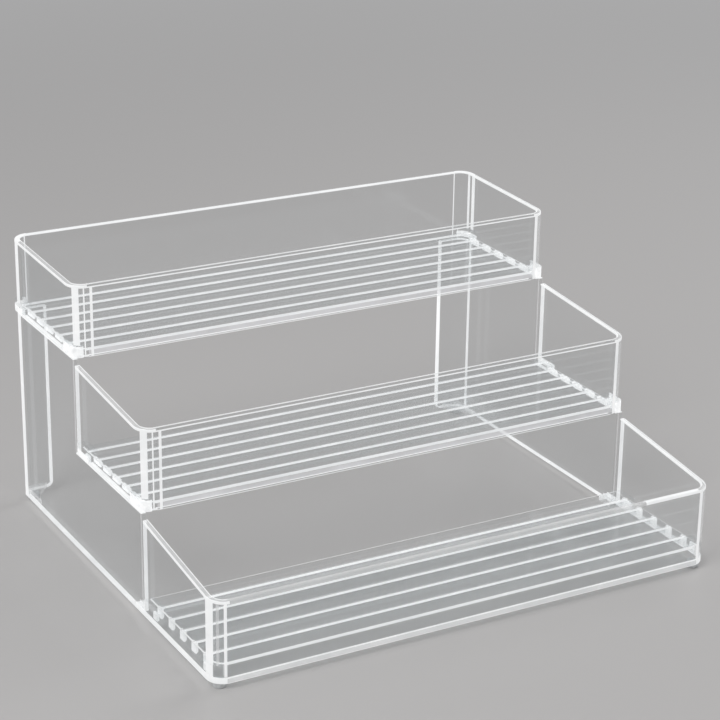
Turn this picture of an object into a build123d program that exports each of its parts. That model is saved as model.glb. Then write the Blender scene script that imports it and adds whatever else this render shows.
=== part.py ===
from build123d import *
import os

# A clear three-step organizer for cosmetics. Two stepped side panels and a base plate carry three
# ribbed trays, which lift off their tabs, and four soft feet keep the plastic off the table.
# Millimetres, +Z up. The front faces -Y, and the origin is on the table under the footprint's middle.

os.makedirs("parts", exist_ok=True)

# Overall sizes
width = 300.0
bottom_depth = 84.5
middle_depth = 87.0
top_depth = 91.0
middle_rise = 55.0
top_rise = 54.5

# Mouldings
wall = 3.0
corner_radius = 9.0
rim_round = 1.0
tray_gap = 1.0

# Trays
bottom_wall_height = 42.0
middle_wall_height = 45.5
top_wall_height = 41.0
bottom_side_rise = 10.4
middle_side_rise = 6.5
top_side_rise = 2.9
bottom_floor_rise = 6.7
upper_floor_rise = 4.2
floor_thickness = 2.0
rib_count = 5
bottom_rear_bay = 11.2
upper_rear_bay = 19.0
rib_width = 2.4
rib_depth = 1.8
rib_angle = 78.0

# Socket lugs in the trays' lower corners, and the tabs that stand in them
lug_width = 6.0
lug_height = 7.2
lug_radius = 5.0
socket_skin = 0.6
tab_length = 5.0
tab_height = 4.0
fit = 0.15

# Side panels, base plate and feet
riser_setback = 1.0
flange_width = 19.0
flange_corner = 4.0
web_along = 25.0
web_sag = 2.0
base_thickness = 3.5
base_lap = 10.0
tongue_width = 6.0
tongue_round = 2.0
foot_height = 3.2
foot_diameter = 7.0
foot_inset = 5.6
foot_chamfer = 0.8

# Places that follow from the sizes
total_depth = bottom_depth + middle_depth + top_depth
bottom_front = -total_depth / 2
middle_front = bottom_front + bottom_depth
top_front = middle_front + middle_depth
rear = total_depth / 2
bottom_rear = middle_front - tray_gap
middle_rear = top_front - tray_gap
bottom_under = foot_height + base_thickness
middle_under = bottom_under + middle_rise
top_under = middle_under + top_rise
panel_front = middle_front + riser_setback
panel_riser = top_front + riser_setback
plate_rear = panel_front + base_lap
wall_centre = width / 2 - wall / 2
tab_thickness = wall - 2 * (socket_skin + fit)
tab_setback = corner_radius + tab_length / 2
lug_length = corner_radius + tab_length + fit + socket_skin
web_across = flange_width - flange_corner


def round_corners(plan, rounded_back):
    """The corners of a plan that are round: all four, or the front two of an open tray."""
    return plan.vertices() if rounded_back else plan.vertices().group_by(Axis.Y)[0]


def tray_plan(height, front, back, inset, rounded_back):
    """Plan of a tray at one height, drawn in from the outer side faces by the inset."""
    with BuildSketch(Plane.XY.offset(height), mode=Mode.PRIVATE) as plan:
        with Locations((0, (front + back) / 2)):
            Rectangle(width - 2 * inset, back - front)
        fillet(round_corners(plan, rounded_back), corner_radius - inset)
    return plan.sketch


def tab_plan(height, ends, clearance, sides=(-1, 1)):
    """Plan of tabs in the middle of the side walls, or of their sockets where a clearance is given."""
    with BuildSketch(Plane.XY.offset(height), mode=Mode.PRIVATE) as plan:
        with Locations(*[(side * wall_centre, end) for side in sides for end in ends]):
            Rectangle(tab_thickness + 2 * clearance, tab_length + 2 * clearance)
    return plan.sketch


def tab_ends(front, back):
    """Where the two tabs of a side stand along a tray."""
    return (front + tab_setback, back - tab_setback)


def make_tray(front, back, under, wall_height, side_rise, floor_rise, rear_bay, lug_corner, closed):
    """One moulded tray, closed all round or open at the rear."""
    floor_top = under + floor_rise
    rim = under + wall_height
    full_height = wall_height + side_rise
    middle = (front + back) / 2
    with BuildPart() as tray:
        extrude(tray_plan(under, front, back, 0, closed), amount=full_height)

        # The inside of an open tray runs out through its rear.
        inside_back = back - wall if closed else back + wall
        inside = tray_plan(floor_top, front + wall, inside_back, wall, closed)
        extrude(inside, amount=full_height, mode=Mode.SUBTRACT)

        # The rim is one plane, which falls from the rear to the front wall and is rounded on both sides.
        with BuildSketch(Plane.YZ):
            with BuildLine():
                Polyline((front, rim), (back, rim + side_rise), (front, rim + side_rise), close=True)
            make_face()
        extrude(amount=width, both=True, mode=Mode.SUBTRACT)
        fillet(tray.faces().sort_by(Axis.Z)[-1].edges(), rim_round)

        # Below the floor the tray is hollow. Ribs from side to side part it into bays, and all but the
        # rear one are equal.
        hollow_height = floor_rise - floor_thickness
        hollow = tray_plan(under, front + wall, back - wall, wall, closed)
        extrude(hollow, amount=hollow_height, mode=Mode.SUBTRACT)
        rib_pitch = (back - front - wall - rear_bay) / rib_count
        rib_middle = back - rear_bay - rib_pitch * (rib_count - 1) / 2
        with BuildSketch(Plane.YZ):
            with Locations((rib_middle, under + hollow_height - rib_depth / 2)):
                with GridLocations(rib_pitch, rib_pitch, rib_count, 1):
                    Trapezoid(rib_width, rib_depth, rib_angle, rotation=180)
        extrude(amount=width / 2 - wall, both=True)

        # The lugs are squarer than the walls above, and each holds a blind socket.
        with BuildSketch(Plane.XY.offset(under)) as lugs:
            with Locations((0, middle)):
                Rectangle(width, back - front)
                fillet(round_corners(lugs, closed), lug_corner)
                Rectangle(width - 2 * lug_width, back - front, mode=Mode.SUBTRACT)
                Rectangle(width, back - front - 2 * lug_length, mode=Mode.SUBTRACT)
        extrude(amount=lug_height)
        sockets = tab_plan(under, tab_ends(front, back), fit)
        extrude(sockets, amount=tab_height + fit, mode=Mode.SUBTRACT)
    return tray.part


def angle_plan(inset):
    """Plan of the left panel's outer or inner face: a straight side, a round corner and a flange."""
    with BuildSketch(Plane.XY.offset(foot_height), mode=Mode.PRIVATE) as plan:
        with Locations((-width / 2 + inset, rear - inset)):
            Rectangle(flange_width, total_depth, align=(Align.MIN, Align.MAX))
        fillet(plan.vertices().group_by(Axis.Y)[-1].sort_by(Axis.X)[0], corner_radius - inset)
    return plan.sketch


# Trays, from the lowest step to the highest
bottom_tray = make_tray(
    bottom_front,
    bottom_rear,
    bottom_under,
    bottom_wall_height,
    bottom_side_rise,
    bottom_floor_rise,
    bottom_rear_bay,
    corner_radius,
    closed=False,
)
middle_tray = make_tray(
    middle_front,
    middle_rear,
    middle_under,
    middle_wall_height,
    middle_side_rise,
    upper_floor_rise,
    upper_rear_bay,
    lug_radius,
    closed=False,
)
top_tray = make_tray(
    top_front,
    rear,
    top_under,
    top_wall_height,
    top_side_rise,
    upper_floor_rise,
    upper_rear_bay,
    lug_radius,
    closed=True,
)

# Left side panel: an angle in plan, cut to two steps in profile and notched over the base plate
with BuildPart() as left_side_panel:
    extrude(angle_plan(0), amount=top_under - foot_height)
    extrude(angle_plan(wall), amount=top_under - foot_height, mode=Mode.SUBTRACT)
    with BuildSketch(Plane.YZ):
        with BuildLine():
            Polyline(
                (panel_front, bottom_under),
                (panel_front, middle_under),
                (panel_riser, middle_under),
                (panel_riser, top_under),
                (rear, top_under),
                (rear, foot_height),
                (plate_rear, foot_height),
                (plate_rear, bottom_under),
                close=True,
            )
        make_face()
    extrude(amount=width, both=True, mode=Mode.INTERSECT)

    # The flange's lower inner corner is round.
    inner_edges = left_side_panel.edges().filter_by(Axis.Y).group_by(Axis.X)[-1]
    fillet(inner_edges.sort_by(Axis.Z)[0], flange_corner)

    # A small web in the foot of the corner takes the rear foot.
    with BuildSketch(Plane.XY.offset(foot_height)):
        with BuildLine():
            corner = (-width / 2 + wall, rear - wall)
            flange_end = (-width / 2 + web_across, rear - wall)
            side_end = (-width / 2 + wall, rear - web_along)
            Line(corner, side_end)
            SagittaArc(side_end, flange_end, web_sag)
            Line(flange_end, corner)
        make_face()
    extrude(amount=base_thickness)

    # Tabs stand on both treads, and one reaches down through the base plate.
    extrude(tab_plan(middle_under, tab_ends(middle_front, middle_rear), 0, (-1,)), amount=tab_height)
    extrude(tab_plan(top_under, tab_ends(top_front, rear), 0, (-1,)), amount=tab_height)
    extrude(tab_plan(foot_height, (panel_front + base_lap / 2,), 0, (-1,)), amount=base_thickness)

# Right side panel, the other hand of the left one
with BuildPart() as right_side_panel:
    mirror(left_side_panel.part, about=Plane.YZ)

# Base plate under the bottom tray, with its tabs, and a slotted tongue under each panel
with BuildPart() as base_plate:
    extrude(tray_plan(foot_height, bottom_front, plate_rear, 0, False), amount=base_thickness)
    with BuildSketch(Plane.XY.offset(foot_height)):
        with Locations((0, plate_rear)):
            RectangleRounded(width - 2 * tongue_width, 2 * (plate_rear - bottom_rear), tongue_round)
    extrude(amount=base_thickness, mode=Mode.SUBTRACT)
    extrude(tab_plan(bottom_under, tab_ends(bottom_front, bottom_rear), 0), amount=tab_height)
    slots = tab_plan(foot_height, (panel_front + base_lap / 2,), fit)
    extrude(slots, amount=base_thickness, mode=Mode.SUBTRACT)


def make_foot(side, place):
    """One soft pad under a corner, with its lower edge chamfered."""
    with BuildPart() as foot:
        with BuildSketch():
            with Locations((side * (width / 2 - foot_inset), place)):
                Circle(foot_diameter / 2)
        extrude(amount=foot_height)
        chamfer(foot.edges().sort_by(Axis.Z)[0], foot_chamfer)
    return foot.part


pieces = {
    "bottom_tray": bottom_tray,
    "middle_tray": middle_tray,
    "top_tray": top_tray,
    "left_side_panel": left_side_panel.part,
    "right_side_panel": right_side_panel.part,
    "base_plate": base_plate.part,
    "front_left_foot": make_foot(-1, bottom_front + foot_inset),
    "front_right_foot": make_foot(1, bottom_front + foot_inset),
    "rear_left_foot": make_foot(-1, rear - foot_inset),
    "rear_right_foot": make_foot(1, rear - foot_inset),
}

for name, piece in pieces.items():
    piece.label = name
    export_step(piece, f"parts/{name}.step")
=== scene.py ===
from math import atan2, cos, pi, radians, sin

import bmesh
import bpy
from bmesh.types import BMEdge, BMFace, BMVert
from mathutils import Matrix, Vector


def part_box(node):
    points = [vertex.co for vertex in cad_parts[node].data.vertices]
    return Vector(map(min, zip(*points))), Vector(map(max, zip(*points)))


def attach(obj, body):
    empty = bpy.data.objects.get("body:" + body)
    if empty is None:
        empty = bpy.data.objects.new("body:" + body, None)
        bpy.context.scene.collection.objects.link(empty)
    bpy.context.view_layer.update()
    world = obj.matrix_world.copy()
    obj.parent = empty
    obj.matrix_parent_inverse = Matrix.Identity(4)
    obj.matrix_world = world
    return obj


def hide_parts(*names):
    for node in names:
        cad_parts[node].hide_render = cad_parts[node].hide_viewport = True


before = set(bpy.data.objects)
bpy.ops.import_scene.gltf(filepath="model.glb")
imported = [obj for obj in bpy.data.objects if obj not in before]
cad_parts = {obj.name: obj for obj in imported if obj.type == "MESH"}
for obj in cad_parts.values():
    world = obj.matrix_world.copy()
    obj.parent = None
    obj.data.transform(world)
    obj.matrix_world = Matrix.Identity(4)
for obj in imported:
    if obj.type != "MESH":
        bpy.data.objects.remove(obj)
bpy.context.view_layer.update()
scene = bpy.context.scene

# Base plate. A flat sheet of clear acrylic that the bottom tray stands on, with round front corners,
# a tongue at each end that runs back under the side panels, and tabs that stand up into the tray.
# The edges carry painted light, a white colour and an emission glow that stand in for the light leaving the
# sheet there, and the faces are clear.
wall = 0.003
corner_radius = 0.009
tongue_width = 0.006
tongue_round = 0.002
base_lap = 0.010
plate_easing = 0.0005
tab_thickness = 0.0015
tab_length = 0.005
tab_height = 0.004
tab_setback = 0.0115
tab_root = 0.0001
tab_easing = 0.0003
fit = 0.00015
arc_steps = 18
small_arc_steps = 8
sharp_angle = radians(60)
smooth_angle = radians(32)
square_on = 0.99
across, along, level = (1, 0, 0), (0, 1, 0), (0, 0, 1)
plate_left, plate_front, plate_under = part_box("base_plate")[0]
plate_right, plate_rear, plate_tab_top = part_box("base_plate")[1]
plate_top = plate_tab_top - tab_height
bottom_tray_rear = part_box("bottom_tray")[1].y
panel_front = plate_rear - base_lap


class Shade:
    """A socket of a material, on which sums, products and powers add Math nodes."""

    def __init__(self, tree, socket=None):
        self.tree = tree
        self.socket = socket

    def put(self, kind, settings, sockets, output=0):
        """Add a node, with its settings first and then the values or links of its sockets."""
        made = self.tree.nodes.new(kind)
        for name, value in settings.items():
            setattr(made, name, value)
        for name, value in sockets.items():
            if isinstance(value, Shade):
                self.tree.links.new(value.socket, made.inputs[name])
            else:
                made.inputs[name].default_value = value
        return Shade(self.tree, made.outputs[output] if made.outputs else None)

    def math(self, operation, first, second):
        return self.put("ShaderNodeMath", {"operation": operation}, {0: first, 1: second})

    def __add__(self, other):
        return self.math("ADD", self, other)

    def __sub__(self, other):
        return self.math("SUBTRACT", self, other)

    def __mul__(self, other):
        return self.math("MULTIPLY", self, other)

    def __pow__(self, other):
        return self.math("POWER", self, other)


def start_material(name):
    """A new material with an empty node tree, the value to build on, and the place on the piece."""
    material = bpy.data.materials.new(name)
    material.use_nodes = True
    material.node_tree.nodes.clear()
    shade = Shade(material.node_tree)
    return material, shade, shade.put("ShaderNodeTexCoord", {}, {}, "Object")


def add_noise(place, scale, detail):
    """Cloudy noise between 0 and 1, finer for a larger scale."""
    return place.put("ShaderNodeTexNoise", {}, {"Vector": place, "Scale": scale, "Detail": detail}, "Fac")


def add_blend(factor, first, second):
    """A colour between two. The node's sockets 6 and 7 are its colours, and its output 2 is the result."""
    colours = {"Factor": factor, 6: (*first, 1.0), 7: (*second, 1.0)}
    return factor.put("ShaderNodeMix", {"data_type": "RGBA"}, colours, 2)


def make_clear_plastic():
    """Polished clear acrylic, which mirrors most at a glancing angle, with faint ripples and marks."""
    material, shade, place = start_material("clear_plastic")
    ripple = add_noise(place, 26.0, 1.0)
    smear = add_noise(place, 11.0, 5.0)
    dust = add_noise(place, 520.0, 2.0)
    facing = shade.put("ShaderNodeLayerWeight", {}, {"Blend": 0.5}, "Facing")
    bump = shade.put("ShaderNodeBump", {}, {"Strength": 0.05, "Distance": 0.001, "Height": ripple})
    specks = shade.math("MAXIMUM", dust - 0.70, 0.0)
    skin = shade.put("ShaderNodeBsdfPrincipled", {}, {
        "Base Color": (0.80, 0.82, 0.83, 1.0),
        "Roughness": smear * 0.10 + 0.03,
        "IOR": 1.49,
        "Metallic": 0.85,
        "Normal": bump,
    })
    through = shade.put("ShaderNodeBsdfTransparent", {}, {"Color": (0.984, 0.987, 0.988, 1.0)})
    mirror = facing ** 5.0 * 0.70 + 0.035 + specks * 0.8 + smear * 0.012
    mix = shade.put("ShaderNodeMixShader", {}, {"Fac": mirror, 1: through, 2: skin})
    shade.put("ShaderNodeOutputMaterial", {}, {"Surface": mix})
    return material


def make_lit_edge(name, body_tone, glow, cover, sparkle=0.12, patch=60.0):
    """Painted light for an edge of the acrylic: a white colour and an emission glow that stand in for the
    light leaving the sheet, a little uneven, and finely marked.
    """
    material, shade, place = start_material(name)
    cloud = add_noise(place, patch, 3.0)
    grain = add_noise(place, 900.0, 2.0)
    dull_tone = (body_tone * 0.88, body_tone * 0.90, body_tone * 0.91)
    dull_glow = (glow * 0.80, glow * 0.82, glow * 0.83)
    bump = shade.put("ShaderNodeBump", {}, {"Strength": 0.10, "Distance": 0.0005, "Height": grain})
    surface = shade.put("ShaderNodeBsdfPrincipled", {}, {
        "Base Color": add_blend(cloud, dull_tone, (body_tone, body_tone, body_tone)),
        "Roughness": cloud * 0.15 + 0.18,
        "IOR": 1.49,
        "Alpha": cloud * sparkle + (cover - sparkle / 2),
        "Emission Color": add_blend(cloud, dull_glow, (glow, glow, glow)),
        "Emission Strength": 1.0,
        "Normal": bump,
    })
    shade.put("ShaderNodeOutputMaterial", {}, {"Surface": surface})
    return material


clear_plastic = make_clear_plastic()
# The lit finishes are painted light, a white colour with an emission glow: strongest in lit_edge, fainter
# in lit_band and lit_line.
lit_edge = make_lit_edge("lit_edge", 0.32, 0.74, 0.95)
lit_line = make_lit_edge("lit_line", 0.52, 0.40, 0.45)
lit_band = make_lit_edge("lit_band", 0.42, 0.56, 0.72)
plate_finishes = [clear_plastic, lit_edge, lit_line, lit_band]


def only(kind, parts):
    """Those of the parts that are vertices, edges or faces, as asked."""
    return [part for part in parts if isinstance(part, kind)]


def raise_faces(bm, faces, height):
    """Copy faces upwards by a height, with walls between the faces and their copies."""
    raised = bmesh.ops.extrude_face_region(bm, geom=faces)["geom"]
    bmesh.ops.translate(bm, verts=only(BMVert, raised), vec=(0, 0, height))


def raise_outline(bm, outline, low, high):
    """A block with the given outline in plan, between two heights."""
    face = bm.faces.new([bm.verts.new((x, y, low)) for x, y in outline])
    raise_faces(bm, [face], high - low)


def upright_edges(bm, places):
    """The upright edges that stand at the given places in plan."""
    found = []
    for edge in bm.edges:
        a, b = (vert.co for vert in edge.verts)
        if abs(a.z - b.z) > 1e-4 and (a - b).xy.length < 1e-5:
            if any(abs(a.x - x) + abs(a.y - y) < 1e-5 for x, y in places):
                found.append(edge)
    return found


def level_edges(edges):
    """Those of the edges that lie level and are real corners."""
    return [
        edge for edge in edges
        if abs(edge.verts[0].co.z - edge.verts[1].co.z) < 1e-6 and edge.calc_face_angle(0.0) > sharp_angle
    ]


def round_off(bm, parts, radius, steps, affect="EDGES"):
    """Round edges, or the corners of a face, and give back what is made."""
    return bmesh.ops.bevel(
        bm, geom=parts, offset=radius, offset_type="OFFSET", segments=steps, profile=0.5,
        affect=affect, material=-1,
    )


def cut_faces(bm, faces, point, direction, clear_outer=False):
    """Cut faces where they cross a plane, and take away what lies beyond it if that is asked."""
    verts = {vert for face in faces for vert in face.verts}
    edges = {edge for face in faces for edge in face.edges}
    return bmesh.ops.bisect_plane(
        bm, geom=[*verts, *edges, *faces], dist=1e-7, plane_co=point, plane_no=direction,
        clear_outer=clear_outer,
    )


def cut_slot(bm, faces, x, y):
    """Cut the outline of a tab's slot into level faces, and give back the faces inside it."""
    half_x = tab_thickness / 2 + fit
    half_y = tab_length / 2 + fit
    cuts = [
        ((x - half_x, 0, 0), across),
        ((x + half_x, 0, 0), across),
        ((0, y - half_y, 0), along),
        ((0, y + half_y, 0), along),
    ]
    for point, direction in cuts:
        faces = only(BMFace, cut_faces(bm, faces, point, direction)["geom"])
    middles = [(face, face.calc_center_median()) for face in faces]
    return [face for face, c in middles if abs(c.x - x) < half_x and abs(c.y - y) < half_y]


def add_bar(bm, middle, size):
    """A plain block, of which the corners are given back."""
    place = Matrix.Translation(middle) @ Matrix.Diagonal((*size, 1.0))
    return bmesh.ops.create_cube(bm, size=1.0, matrix=place)["verts"]


def add_block(bm, low, high, easing, finish):
    """A small block between two corners, with its edges eased; finish is its number in the piece's list."""
    verts = add_bar(bm, (Vector(high) + Vector(low)) / 2, Vector(high) - Vector(low))
    edges = list({edge for vert in verts for edge in vert.link_edges})
    eased = round_off(bm, edges, easing, 1)
    for face in {face for vert in eased["verts"] for face in vert.link_faces}:
        face.material_index = finish


def add_tab(bm, x, y, low, high, finish):
    """A tab in the middle of a wall, between two heights."""
    half = Vector((tab_thickness / 2, tab_length / 2, 0))
    add_block(bm, Vector((x, y, low)) - half, Vector((x, y, high)) + half, tab_easing, finish)


def corner_turn(normal):
    """How far an upright face is turned: 0 where it faces a side, 1 where it faces the front or rear."""
    return atan2(abs(normal.y), abs(normal.x)) / (pi / 2)


def finish_piece(bm, name, finishes, body, nodes):
    """Shade the mesh smooth up to its real corners, and hang it on its body in place of the CAD nodes."""
    bmesh.ops.recalc_face_normals(bm, faces=bm.faces)
    for face in bm.faces:
        face.smooth = True
    for edge in bm.edges:
        edge.smooth = edge.calc_face_angle(0.0) < smooth_angle
    mesh = bpy.data.meshes.new(name)
    bm.to_mesh(mesh)
    bm.free()
    for finish in finishes:
        mesh.materials.append(finish)
    piece = bpy.data.objects.new(name, mesh)
    scene.collection.objects.link(piece)
    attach(piece, body)
    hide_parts(*nodes)


def plate_finish(face):
    """The finish of a face of the plate: clear above and below, and a painted glow at the edges, softer in
    front.
    """
    c = face.calc_center_median()
    if abs(face.normal.z) > square_on:
        return clear_plastic
    if face.normal.y < -square_on:
        return lit_band
    behind_tray = c.y > bottom_tray_rear - 0.001 and abs(c.x) < plate_right - wall
    return lit_line if behind_tray else lit_edge


plate = bmesh.new()
raise_outline(plate, [
    (plate_left, plate_front),
    (plate_right, plate_front),
    (plate_right, plate_rear),
    (plate_right - tongue_width, plate_rear),
    (plate_right - tongue_width, bottom_tray_rear),
    (plate_left + tongue_width, bottom_tray_rear),
    (plate_left + tongue_width, plate_rear),
    (plate_left, plate_rear),
], plate_under, plate_top)
front_corners = [(plate_left, plate_front), (plate_right, plate_front)]
tongue_roots = [(x * (plate_right - tongue_width), bottom_tray_rear) for x in (-1, 1)]
round_off(plate, upright_edges(plate, front_corners), corner_radius, arc_steps)
round_off(plate, upright_edges(plate, tongue_roots), tongue_round, small_arc_steps)
round_off(plate, level_edges(plate.edges), plate_easing, 2)
plate.normal_update()
for face in plate.faces:
    face.material_index = plate_finishes.index(plate_finish(face))
for x in (plate_left + wall / 2, plate_right - wall / 2):
    sheet = [face for face in plate.faces if abs(face.normal.z) > square_on]
    lids = cut_slot(plate, sheet, x, panel_front + base_lap / 2)
    mouths = list({edge for face in lids for edge in face.edges})
    bmesh.ops.delete(plate, geom=lids, context="FACES_ONLY")
    bmesh.ops.bridge_loops(plate, edges=mouths)
    plate.normal_update()
for x in (plate_left + wall / 2, plate_right - wall / 2):
    for y in (plate_front + tab_setback, bottom_tray_rear - tab_setback):
        add_tab(plate, x, y, plate_top - tab_root, plate_tab_top, plate_finishes.index(lit_edge))
finish_piece(plate, "base_sheet", plate_finishes, "stand", ["base_plate"])

# Side panels. Each is one clear moulding, an angle in plan: a side cut to two steps in profile, a round
# rear corner, and a narrow flange across the back. Tabs on both treads locate the trays, one below goes
# through the base plate, and a web in the foot of the corner takes a rear foot.
flange_width = 0.019
# flange_line, corner_line and bend_line size painted highlight lines on the flange and round the rear bend.
flange_line = 0.0008
flange_corner = 0.004
panel_easing = 0.0004
riser_setback = 0.001
web_thickness = 0.0035
web_across = 0.015
web_along = 0.025
web_sag = 0.002
web_round = 0.011
corner_line = 0.0034
bend_line = 0.14
straight = 0.02
middle_low, middle_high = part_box("middle_tray")
top_low, top_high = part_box("top_tray")
panel_riser = top_low.y + riser_setback
panel_rear = top_high.y
# The brightest painted glow, for the flange's line and the highlight lines in the floors.
lit_core = make_lit_edge("lit_core", 0.32, 0.88, 0.95)
panel_finishes = [clear_plastic, lit_edge, lit_line, lit_core]


def fold_panel(bm, outer, side):
    """The side and the flange: one thin skin, folded round the rear corner and thickened inwards."""
    profile = [
        (panel_front, plate_top),
        (panel_front, middle_low.z),
        (panel_riser, middle_low.z),
        (panel_riser, top_low.z),
        (panel_rear, top_low.z),
        (panel_rear, plate_under),
        (plate_rear, plate_under),
        (plate_rear, plate_top),
    ]
    ring = [bm.verts.new((outer, y, z)) for y, z in profile]
    inner_top = bm.verts.new((outer - side * flange_width, panel_rear, top_low.z))
    inner_foot = bm.verts.new((outer - side * flange_width, panel_rear, plate_under))
    for skin in (ring, [ring[4], inner_top, inner_foot, ring[5]]):
        bm.faces.new(skin if side > 0 else skin[::-1])
    round_off(bm, [inner_foot], flange_corner, small_arc_steps, "VERTICES")
    round_off(bm, upright_edges(bm, [(outer, panel_rear)]), corner_radius, arc_steps)
    bmesh.ops.recalc_face_normals(bm, faces=bm.faces)
    if sum(face.normal.x * side * face.calc_area() for face in bm.faces) < 0:
        bmesh.ops.reverse_faces(bm, faces=bm.faces)
    cut_faces(bm, bm.faces[:], (0, panel_rear - corner_radius - corner_line, 0), along)
    cut_faces(bm, bm.faces[:], (outer - side * (flange_width - flange_line), 0, 0), across)
    bmesh.ops.solidify(bm, geom=bm.faces[:], thickness=wall)
    rims = [edge for edge in bm.edges if edge.calc_face_angle(0.0) > sharp_angle]
    round_off(bm, rims, panel_easing, 1)
    bm.normal_update()


def panel_finish(face, outer, side):
    """The finish of a face of a panel: clear, with a painted glow on the edges and a painted highlight line
    down the flange and the bend.
    """
    n = face.normal
    c = face.calc_center_median()
    turn = corner_turn(n)
    upright = abs(n.z) < 0.02
    bend = upright and straight < turn < 1 - straight and c.y > panel_rear - corner_radius * 1.05
    riser = n.y < -0.5 and abs(n.z) < 0.3 and c.y < panel_riser + riser_setback
    # A painted highlight band on the outer side of the rear bend.
    if bend and n.x * side > 0:
        return lit_edge if turn < bend_line else clear_plastic
    if riser and n.y > -0.9:
        return lit_line
    if abs(c.x - outer) > flange_width - flange_line:
        return lit_core
    # A painted highlight on the left panel's rear corner only, where the light falls from the left.
    if side < 0 and n.x < -square_on and c.y > panel_rear - corner_radius - corner_line:
        return lit_edge
    broad = abs(n.x) > square_on or abs(n.y) > square_on and c.y > panel_rear - wall * 1.5
    return clear_plastic if broad or bend or riser else lit_edge


def add_web(bm, outer, side):
    """The small web in the foot of the rear corner, with a hollow edge and a painted glow on its sides."""
    side_end = Vector((outer - side * wall, panel_rear - web_along))
    flange_end = Vector((outer - side * web_across, panel_rear - wall))
    edge = flange_end - side_end
    into_corner = Vector((edge.y, -edge.x)).normalized() * side
    hollow = (side_end + flange_end) / 2 + into_corner * web_sag * 2
    before = set(bm.faces)
    outline = [(side_end.x, flange_end.y), side_end, hollow, flange_end]
    raise_outline(bm, outline, plate_under, plate_under + web_thickness)
    round_off(bm, upright_edges(bm, [hollow]), web_round, small_arc_steps)
    bm.normal_update()
    for face in set(bm.faces) - before:
        finish = clear_plastic if abs(face.normal.z) > square_on else lit_line
        face.material_index = panel_finishes.index(finish)


def make_panel(name, node, side):
    """One side panel; side is -1 for the left and 1 for the right."""
    outer = side * plate_right
    bm = bmesh.new()
    fold_panel(bm, outer, side)
    for face in bm.faces:
        face.material_index = panel_finishes.index(panel_finish(face, outer, side))
    add_web(bm, outer, side)
    tabs = [
        (middle_low.y + tab_setback, middle_low.z, middle_low.z + tab_height),
        (middle_high.y - tab_setback, middle_low.z, middle_low.z + tab_height),
        (top_low.y + tab_setback, top_low.z, top_low.z + tab_height),
        (top_high.y - tab_setback, top_low.z, top_low.z + tab_height),
        (panel_front + base_lap / 2, plate_top - web_thickness, plate_top),
    ]
    for y, low, high in tabs:
        add_tab(bm, outer - side * wall / 2, y, low, high, panel_finishes.index(lit_edge))
    finish_piece(bm, name, panel_finishes, "stand", [node])


make_panel("left_panel", "left_side_panel", -1)
make_panel("right_panel", "right_side_panel", 1)

# Trays. Each is one clear moulding: walls with round corners and a rim that rises to the rear, a floor
# over five ribs, and a squarer lug in each lower corner that takes a tab. The top one has a rear wall.
# Values that end in line or bands say where painted light goes: a white colour and an emission glow that
# stand in for light coming out of the plastic.
rim_round = 0.001
rim_spare = 0.002
edge_line = 0.0008
end_line = 0.0023
sole_line = 0.0016
front_sole_line = 0.0006
soft_glow_end = 0.106
glow_streak_place = 0.0013
glow_streak_width = 0.0016
sole_easing = 0.0005
end_easing = 0.0004
rim_tilt = 0.12
rim_flat = 0.985
rim_crown = 0.70
face_tilt = 0.3
# Bands of turn on the round corners that get painted highlights, bright or soft.
rear_bands = [(0.02, 0.10), (0.22, 0.36), (0.92, 0.98)]
right_bands = [(0.77, 0.95)]
right_soft_bands = [(0.02, 0.36)]
upper_left_bands = [(0.39, 0.66), (0.81, 0.88)]
bottom_left_bands = [(0.02, 0.40), (0.78, 0.90)]
bottom_left_soft_bands = [(0.50, 0.62)]
floor_thickness = 0.002
floor_gap = 0.00005
floor_easing = 0.0006
shallow_floor = 0.005
rib_count = 5
rib_width = 0.0024
rib_depth = 0.0018
rib_taper = 0.68
rib_gap = 0.00002
rib_play = 0.0002
# A glint is a thin bar in the floor that carries a painted highlight line over a rib.
glint_height = 0.0013
glint_width = 0.0010
glint_cover = 0.00015
gusset_reach = 0.0022
gusset_lift = 0.0003
gusset_cover = 0.0002
gusset_easing = 0.0008
lug_width = 0.006
lug_length = 0.01475
lug_height = 0.0072
lug_proud = 0.00012
lug_under = 0.00005
lug_lap = 0.0004
lug_easing = 0.0004
lug_sharp_angle = radians(40)
# Bands of turn on the bottom tray's front lugs that get a painted glow.
left_lug_bands = [(0.02, 0.36)]
right_lug_bands = [(0.75, 0.98)]


def make_shaded_foot():
    """Painted shade for the foot of a front wall, where the floor runs into it: a cloudy pale grey that
    half covers, with a faint painted glow.
    """
    material, shade, place = start_material("shaded_foot")
    cloud = add_noise(place, 40.0, 3.0)
    tone = add_blend(cloud, (0.62, 0.62, 0.64), (0.78, 0.78, 0.80))
    surface = shade.put("ShaderNodeBsdfPrincipled", {}, {
        "Base Color": tone,
        "Roughness": cloud * 0.2 + 0.1,
        "IOR": 1.49,
        "Alpha": cloud * 0.3 + 0.36,
        "Emission Color": tone,
        "Emission Strength": 0.45,
    })
    shade.put("ShaderNodeOutputMaterial", {}, {"Surface": surface})
    return material


# A speckled painted glow for the lugs and gussets of the shallow trays.
lit_lug = make_lit_edge("lit_lug", 0.36, 0.84, 0.84, 0.7, 260.0)
shaded_foot = make_shaded_foot()
tray_finishes = [clear_plastic, lit_edge, lit_core, lit_line, lit_lug, shaded_foot]


def within(turn, bands):
    """Whether a turn lies inside one of the bands."""
    return any(low < turn < high for low, high in bands)


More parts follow.
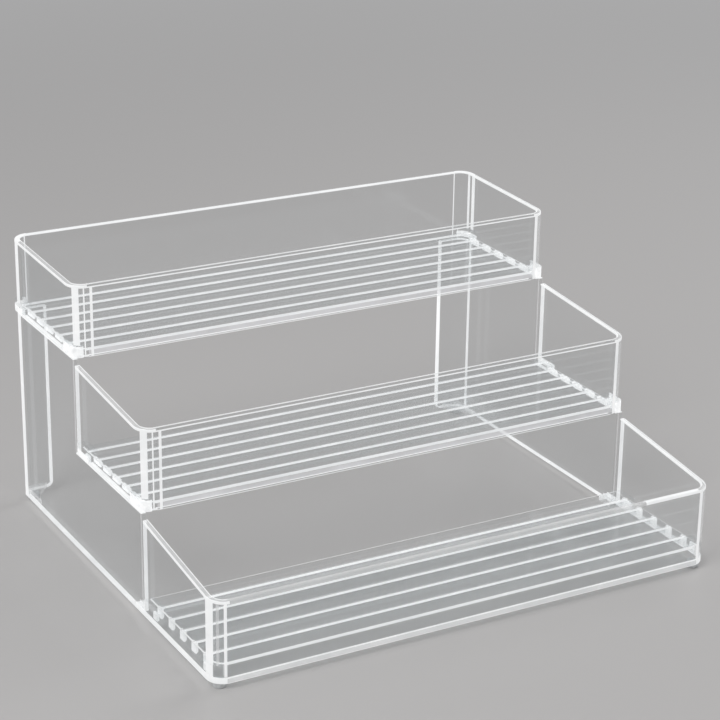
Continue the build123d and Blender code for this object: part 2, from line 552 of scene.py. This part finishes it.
class Tray:
    """The main places of one tray, from its CAD box and its own sizes."""

    def __init__(self, node, front_height, floor_rise, closed):
        self.low, self.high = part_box(node)
        self.middle = Vector((0, (self.low.y + self.high.y) / 2, 0))
        self.left = self.low.x + wall + floor_gap
        self.right = self.high.x - wall - floor_gap
        self.floor_top = self.low.z + floor_rise
        self.rim = self.low.z + front_height
        self.glow_streak = self.low.x + corner_radius + glow_streak_place
        self.shallow = floor_rise < shallow_floor
        self.closed = closed

    def under_rim(self, point):
        """How far a point lies below the plane of the rim."""
        low, high = self.low, self.high
        return self.rim + (point.y - low.y) * (high.z - self.rim) / (high.y - low.y) - point.z

    def behind_lug(self, point):
        """Whether a point of a wall lies where a lug takes the wall's place."""
        at_side = abs(point.x) > self.high.x - lug_width + lug_lap
        at_end = min(point.y - self.low.y, self.high.y - point.y) < lug_length - lug_lap
        return at_side and at_end and point.z < self.low.z + lug_height - lug_lap


def fold_walls(bm, tray):
    """The walls, folded from the plan, cut to the sloping rim, thickened inwards and rounded."""
    low, high = tray.low, tray.high
    plan = [(low.x, high.y), (low.x, low.y), (high.x, low.y), (high.x, high.y)]
    foot = [bm.verts.new((x, y, low.z)) for x, y in plan]
    runs = [bm.edges.new(pair) for pair in zip(foot, foot[1:])]
    if tray.closed:
        runs.append(bm.edges.new((foot[3], foot[0])))
    raised = bmesh.ops.extrude_edge_only(bm, edges=runs)["geom"]
    bmesh.ops.translate(bm, verts=only(BMVert, raised), vec=(0, 0, high.z - low.z + rim_spare))
    rounded = plan if tray.closed else plan[1:3]
    round_off(bm, upright_edges(bm, rounded), corner_radius, arc_steps)
    slope = Vector((0, tray.rim - high.z, high.y - low.y))
    cut_faces(bm, bm.faces[:], (0, low.y, tray.rim), slope, clear_outer=True)
    cuts = [
        ((0, 0, tray.floor_top), level),
        ((0, low.y, tray.rim - rim_round - edge_line), slope),
        ((0, 0, low.z + sole_line), level),
        ((0, 0, low.z + front_sole_line), level),
        ((soft_glow_end, 0, 0), across),
        ((tray.glow_streak, 0, 0), across),
        ((tray.glow_streak + glow_streak_width, 0, 0), across),
        ((0, high.y - corner_radius - corner_line, 0), along),
        ((0, high.y - corner_radius - corner_line / 2, 0), along),
        ((0, 0, low.z + lug_height - lug_lap), level),
        ((0, low.y + lug_length - lug_lap, 0), along),
        ((0, high.y - lug_length + lug_lap, 0), along),
        ((low.x + lug_width - lug_lap, 0, 0), across),
        ((high.x - lug_width + lug_lap, 0, 0), across),
    ]
    for point, direction in cuts:
        cut_faces(bm, bm.faces[:], point, direction)
    hidden = [face for face in bm.faces if tray.behind_lug(face.calc_center_median())]
    bmesh.ops.delete(bm, geom=hidden, context="FACES")
    bm.normal_update()
    outwards = sum((face.calc_center_median() - tray.middle).xy.dot(face.normal.xy) for face in bm.faces)
    if outwards < 0:
        bmesh.ops.reverse_faces(bm, faces=bm.faces)
    bmesh.ops.solidify(bm, geom=bm.faces[:], thickness=wall)
    bm.normal_update()
    crest = [
        edge for edge in bm.edges
        if all(abs(tray.under_rim(vert.co)) < 5e-4 for vert in edge.verts)
        and edge.calc_face_angle(0.0) > sharp_angle
    ]
    round_off(bm, crest, rim_round, 4)
    sole = [edge for edge in level_edges(bm.edges) if abs(edge.verts[0].co.z - low.z) < 1e-6]
    round_off(bm, sole, sole_easing, 1)
    if not tray.closed:
        ends = [(x, high.y) for x in (low.x, low.x + wall, high.x - wall, high.x)]
        round_off(bm, upright_edges(bm, ends), end_easing, 1)
        bm.normal_update()
        for side in (-1, 1):
            rear = [f for f in bm.faces if f.normal.y > 0.9 and f.calc_center_median().x * side > 0]
            cut_faces(bm, rear, (side * (high.x - end_line), 0, 0), across)
    bm.normal_update()


def wall_finish(tray, face):
    """The finish of a face of the walls: clear, but for a painted glow on the edges and painted highlight
    bands on the bends, where light comes out of the plastic.
    """
    low, high = tray.low, tray.high
    n = face.normal
    c = face.calc_center_median()
    turn = corner_turn(n)
    outward = (c - tray.middle).xy.dot(n.xy) > 0
    at_back = tray.closed and c.y > high.y - corner_radius - corner_line
    at_side = abs(c.x) > high.x - corner_radius
    in_front = not at_side and c.y < low.y + wall * 1.5
    by_rim = tray.under_rim(c) < rim_round + edge_line
    on_rim = n.z > rim_tilt or outward and by_rim and tray.under_rim(c) > 0

    # The rim, the sole and the rear ends of the side walls, with a painted glow on their edges
    if on_rim and in_front and not tray.shallow:
        # A painted glow along the front rim: the softer line left of this x, the full white edge right of
        # it.
        return lit_line if c.x < soft_glow_end else lit_edge
    if n.z > rim_tilt:
        flat = n.z > rim_flat or outward and (n.z > rim_crown or in_front)
        if not flat or at_back and at_side:
            return lit_edge
        return lit_line if at_side else clear_plastic
    if n.z < -rim_tilt:
        at_wall = abs(c.x) > high.x - wall * 1.5
        lit = at_wall and c.x < 0 or (at_wall or in_front) and n.z > -0.9
        return lit_edge if tray.shallow and lit and c.z < low.z + sole_line else clear_plastic
    if not tray.closed and n.y > face_tilt and c.y > high.y - end_easing * 1.25:
        return lit_edge if abs(c.x) > high.x - end_line else clear_plastic
    if not outward:
        return clear_plastic
    if by_rim:
        return lit_edge

    # The outer faces of the walls, with a painted glow line at the sole, a painted highlight streak and
    # painted shade at the front foot
    lit_sole = front_sole_line if in_front or c.x > 0 else sole_line
    if tray.shallow and n.y < 0.5 and c.z < low.z + lit_sole:
        return lit_edge
    if turn > 1 - straight:
        if not tray.shallow or n.y > 0:
            return clear_plastic
        # A painted highlight streak up the front wall, near the left corner.
        if tray.glow_streak < c.x < tray.glow_streak + glow_streak_width:
            return lit_edge
        # Painted shade on the front wall's foot, between the sole line and the floor.
        return shaded_foot if low.z + sole_line < c.z < tray.floor_top else clear_plastic
    if turn < straight:
        thin = c.x > 0 and c.y < high.y - corner_radius - corner_line / 2
        return lit_edge if at_back and not thin else clear_plastic

    # The round corners, with painted highlight bands that differ left and right as the light falls from the
    # left
    if at_back:
        return lit_edge if within(turn, rear_bands) else clear_plastic
    if c.x > 0:
        bright, soft = right_bands, right_soft_bands
    elif tray.shallow:
        bright, soft = upper_left_bands, []
    else:
        bright, soft = bottom_left_bands, bottom_left_soft_bands
    if within(turn, bright):
        return lit_edge
    return lit_line if within(turn, soft) else clear_plastic


def add_floor(bm, tray):
    """The floor between the walls, with a painted glow on its edges. It ends flush with the rear of an open
    tray.
    """
    front = tray.low.y + wall + floor_gap
    back = tray.high.y - wall - floor_gap if tray.closed else tray.high.y
    corners = [(tray.left, front), (tray.right, front), (tray.right, back), (tray.left, back)]
    before = set(bm.faces)
    raise_outline(bm, corners, tray.floor_top - floor_thickness, tray.floor_top)
    rounded = corners if tray.closed else corners[:2]
    round_off(bm, upright_edges(bm, rounded), corner_radius - wall, small_arc_steps)
    bm.normal_update()
    new_edges = [edge for edge in bm.edges if set(edge.link_faces).isdisjoint(before)]
    round_off(bm, level_edges(new_edges), floor_easing, 1)
    bm.normal_update()
    for face in set(bm.faces) - before:
        n = face.normal
        c = face.calc_center_median()
        if c.y > back - floor_thickness and n.y > face_tilt:
            lit = n.z > 0.1 and not tray.shallow
        else:
            at_front = abs(n.z) < 0.1 and c.y < front + 0.0001
            lit = at_front or 0.1 < abs(n.z) < square_on and c.z > tray.floor_top - floor_thickness / 2
        face.material_index = tray_finishes.index(lit_edge if lit else clear_plastic)


def add_ribs(bm, tray, rear_bay, gusset_width):
    """Ribs under the floor, a small gusset with a painted glow at each end, and a painted highlight line in
    the floor over each.
    """
    low, high = tray.low, tray.high
    length = tray.right - tray.left - rib_play
    pitch = (high.y - low.y - wall - rear_bay) / rib_count
    ribs = [low.y + wall + pitch * (number + 1) for number in range(rib_count)]
    rib_middle = tray.floor_top - floor_thickness - rib_gap - rib_depth / 2
    gusset_finish = tray_finishes.index(lit_lug if tray.shallow else lit_edge)
    for y in ribs:
        rib = add_bar(bm, (0, y, rib_middle), (length, rib_width, rib_depth))
        low_edge = [vert for vert in rib if vert.co.z < rib_middle]
        bmesh.ops.scale(bm, vec=(1, rib_taper, 1), space=Matrix.Translation((0, -y, 0)), verts=low_edge)
        for x in (tray.left, tray.right - gusset_reach):
            add_block(
                bm,
                (x, y - gusset_width / 2, low.z + gusset_lift),
                (x + gusset_reach, y + gusset_width / 2, tray.floor_top - gusset_cover),
                gusset_easing,
                gusset_finish,
            )

    # A shallow tray shows one painted highlight line more, behind the last rib.
    lines = ribs + [ribs[-1] + pitch] if tray.shallow else ribs
    glint_middle = tray.floor_top - glint_cover - glint_height / 2
    for y in lines:
        glint = add_bar(bm, (0, y, glint_middle), (length, glint_width, glint_height))
        bm.normal_update()
        for face in {face for vert in glint for face in vert.link_faces}:
            finish = lit_core if face.normal.y < -0.5 else clear_plastic
            if face.normal.z > 0.5:
                finish = lit_line
            face.material_index = tray_finishes.index(finish)


def lug_finish(tray, face, sign, away):
    """The finish of a face of a lug: a painted glow outside, all over on a shallow tray and else in bands.
    """
    n = face.normal
    c = face.calc_center_median()
    outside = abs(n.z) < face_tilt and max(n.x * sign, -n.y * away) > face_tilt
    if not tray.closed and away < 0 and n.y > face_tilt:
        return lit_edge if abs(c.x) > tray.high.x - end_line else clear_plastic
    if tray.shallow:
        lit = away > 0 or c.z < tray.floor_top
        return lit_lug if outside and lit else clear_plastic
    lit = away > 0 and within(corner_turn(n), left_lug_bands if sign < 0 else right_lug_bands)
    return lit_edge if outside and lit else clear_plastic


def add_lug(bm, tray, sign, away, lug_corner):
    """One lug with a blind socket. Sign is -1 on the left, and away is 1 in front and -1 at the rear."""
    low, high = tray.low, tray.high
    x = low.x if sign < 0 else high.x
    y = low.y if away > 0 else high.y
    square = away < 0 and not tray.closed
    corner = (x + sign * lug_proud, y - away * lug_proud)
    inner = x - sign * lug_width
    uncut = inner if square else x - sign * max(lug_width, lug_corner + lug_lap)
    far = y + away * lug_length
    before = set(bm.faces)
    outline = [corner, (uncut, corner[1]), (uncut, far), (corner[0], far)]
    raise_outline(bm, outline, low.z - lug_under, low.z + lug_height)
    if not square:
        round_off(bm, upright_edges(bm, [corner]), lug_corner, small_arc_steps)
    if uncut != inner:
        cut = cut_faces(bm, set(bm.faces) - before, (inner, 0, 0), (-sign, 0, 0), clear_outer=True)
        bmesh.ops.edgeloop_fill(bm, edges=only(BMEdge, cut["geom_cut"]))
    bm.normal_update()
    new = set(bm.faces) - before
    rims = [
        edge for edge in bm.edges
        if edge.link_faces and set(edge.link_faces) <= new and edge.calc_face_angle(0.0) > lug_sharp_angle
    ]
    round_off(bm, rims, lug_easing, 1)
    cut_faces(bm, set(bm.faces) - before, (0, 0, tray.floor_top), level)
    new = set(bm.faces) - before
    bmesh.ops.recalc_face_normals(bm, faces=list(new))
    if square:
        cut_faces(bm, new, (sign * (high.x - end_line), 0, 0), across)
    new = set(bm.faces) - before
    for face in new:
        face.material_index = tray_finishes.index(lug_finish(tray, face, sign, away))
    sole = [face for face in new if face.normal.z < -square_on]
    mouth = cut_slot(bm, sole, x - sign * wall / 2, y + away * tab_setback)
    raise_faces(bm, mouth, tab_height + fit)
    bmesh.ops.delete(bm, geom=mouth, context="FACES_ONLY")


def make_tray(name, node, front_height, floor_rise, rear_bay, lug_corner, gusset_width, closed):
    """One tray, closed all round or open at the rear."""
    tray = Tray(node, front_height, floor_rise, closed)
    bm = bmesh.new()
    fold_walls(bm, tray)
    for face in bm.faces:
        face.material_index = tray_finishes.index(wall_finish(tray, face))
    add_floor(bm, tray)
    add_ribs(bm, tray, rear_bay, gusset_width)
    for sign in (-1, 1):
        for away in (1, -1):
            add_lug(bm, tray, sign, away, lug_corner)
    finish_piece(bm, name, tray_finishes, node, [node])


make_tray("bottom_step", "bottom_tray", 0.0420, 0.0067, 0.0112, 0.009, 0.005, closed=False)
make_tray("middle_step", "middle_tray", 0.0455, 0.0042, 0.0190, 0.005, 0.009, closed=False)
make_tray("top_step", "top_tray", 0.0410, 0.0042, 0.0190, 0.005, 0.009, closed=True)

# Feet. Four soft clear pads, glued under the plate's front corners and under the webs of the panels.
# Each is a short round button with its lower edge eased.
foot_radius = 0.0035
foot_sides = 40
foot_easing = 0.0008


def make_soft_pad():
    """Soft clear rubber, slightly milky, with a matt skin."""
    material, shade, place = start_material("soft_pad")
    grain = add_noise(place, 700.0, 3.0)
    bump = shade.put("ShaderNodeBump", {}, {"Strength": 0.15, "Distance": 0.0004, "Height": grain})
    surface = shade.put("ShaderNodeBsdfPrincipled", {}, {
        "Base Color": add_blend(grain, (0.76, 0.78, 0.79), (0.88, 0.90, 0.91)),
        "Roughness": grain * 0.2 + 0.40,
        "IOR": 1.45,
        "Alpha": grain * 0.15 + 0.60,
        "Normal": bump,
    })
    shade.put("ShaderNodeOutputMaterial", {}, {"Surface": surface})
    return material


soft_pad = make_soft_pad()
for node in ("front_left_foot", "front_right_foot", "rear_left_foot", "rear_right_foot"):
    low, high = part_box(node)
    foot = bmesh.new()
    place = Matrix.Translation(((low.x + high.x) / 2, (low.y + high.y) / 2, low.z))
    bmesh.ops.create_circle(foot, cap_ends=True, segments=foot_sides, radius=foot_radius, matrix=place)
    raise_faces(foot, foot.faces[:], high.z - low.z)
    foot.normal_update()
    sole = [edge for edge in level_edges(foot.edges) if abs(edge.verts[0].co.z - low.z) < 1e-6]
    round_off(foot, sole, foot_easing, 2)
    finish_piece(foot, node.replace("foot", "pad"), [soft_pad], "stand", [node])

# Table and light. A plain pale table top that fades into an even pale room, a broad soft light from the
# left and a weaker one from the right, so that the white edges stand out from what shows through the walls.
table_tone = (0.50, 0.49, 0.485, 1.0)
table_size = 6.0
room_tone = (0.50, 0.50, 0.505, 1.0)
room_light = 0.85
fade_start = 0.4
fade_end = 2.2
light_target = Vector((0, 0, 0.08))

table_finish, shade, place = start_material("table_top")
table_top = shade.put("ShaderNodeBsdfPrincipled", {}, {
    "Base Color": table_tone,
    "Roughness": add_noise(place, 3.0, 4.0) * 0.1 + 0.30,
})
fade = shade.put("ShaderNodeMapRange", {"interpolation_type": "SMOOTHSTEP"}, {
    "Value": shade.put("ShaderNodeVectorMath", {"operation": "LENGTH"}, {0: place}, "Value"),
    "From Min": fade_start,
    "From Max": fade_end,
})
haze = shade.put("ShaderNodeEmission", {}, {"Color": room_tone, "Strength": room_light})
surface = shade.put("ShaderNodeMixShader", {}, {"Fac": fade, 1: table_top, 2: haze})
shade.put("ShaderNodeOutputMaterial", {}, {"Surface": surface})
table_mesh = bpy.data.meshes.new("table")
flat = bmesh.new()
bmesh.ops.create_grid(flat, x_segments=1, y_segments=1, size=table_size)
flat.to_mesh(table_mesh)
flat.free()
table_mesh.materials.append(table_finish)
table = bpy.data.objects.new("table", table_mesh)
scene.collection.objects.link(table)

room = bpy.data.worlds.new("room")
scene.world = room
room.use_nodes = True
room.node_tree.nodes["Background"].inputs["Color"].default_value = room_tone
room.node_tree.nodes["Background"].inputs["Strength"].default_value = room_light


def hang_light(name, place, size, power):
    """A square light that points at the middle of the organizer."""
    lamp = bpy.data.lights.new(name, "AREA")
    lamp.size = size
    lamp.energy = power
    light = bpy.data.objects.new(name, lamp)
    light.location = place
    light.rotation_euler = (light_target - Vector(place)).to_track_quat("-Z", "Y").to_euler()
    scene.collection.objects.link(light)


hang_light("left_light", (-1.1, -0.5, 1.5), 0.9, 16.0)
hang_light("right_light", (1.2, 0.2, 1.2), 0.8, 7.0)

# Camera. It stands where the straight edges of the photographed organizer put it, and it is turned
# by the yaw to the right, by the pitch downwards, and by the roll about its own line of sight.
yaw, pitch, roll = radians(29.24), radians(21.01), radians(0.81)
camera_place = (-0.5532, -0.9930, 0.5404)
focal_length = 110.3
sensor_width = 36.0
see_through_layers = 64
ahead = Vector((sin(yaw) * cos(pitch), cos(yaw) * cos(pitch), -sin(pitch)))
rightward = Vector((cos(yaw), -sin(yaw), 0))
upward = rightward.cross(ahead)
lens = bpy.data.cameras.new("camera")
lens.sensor_width = sensor_width
lens.lens = focal_length
camera = bpy.data.objects.new("camera", lens)
aim = Matrix((
    rightward * cos(roll) + upward * sin(roll),
    upward * cos(roll) - rightward * sin(roll),
    -ahead,
)).transposed().to_4x4()
aim.translation = camera_place
camera.matrix_world = aim
scene.collection.objects.link(camera)
scene.camera = camera
scene.view_settings.view_transform = "Standard"
scene.cycles.transparent_max_bounces = see_through_layers
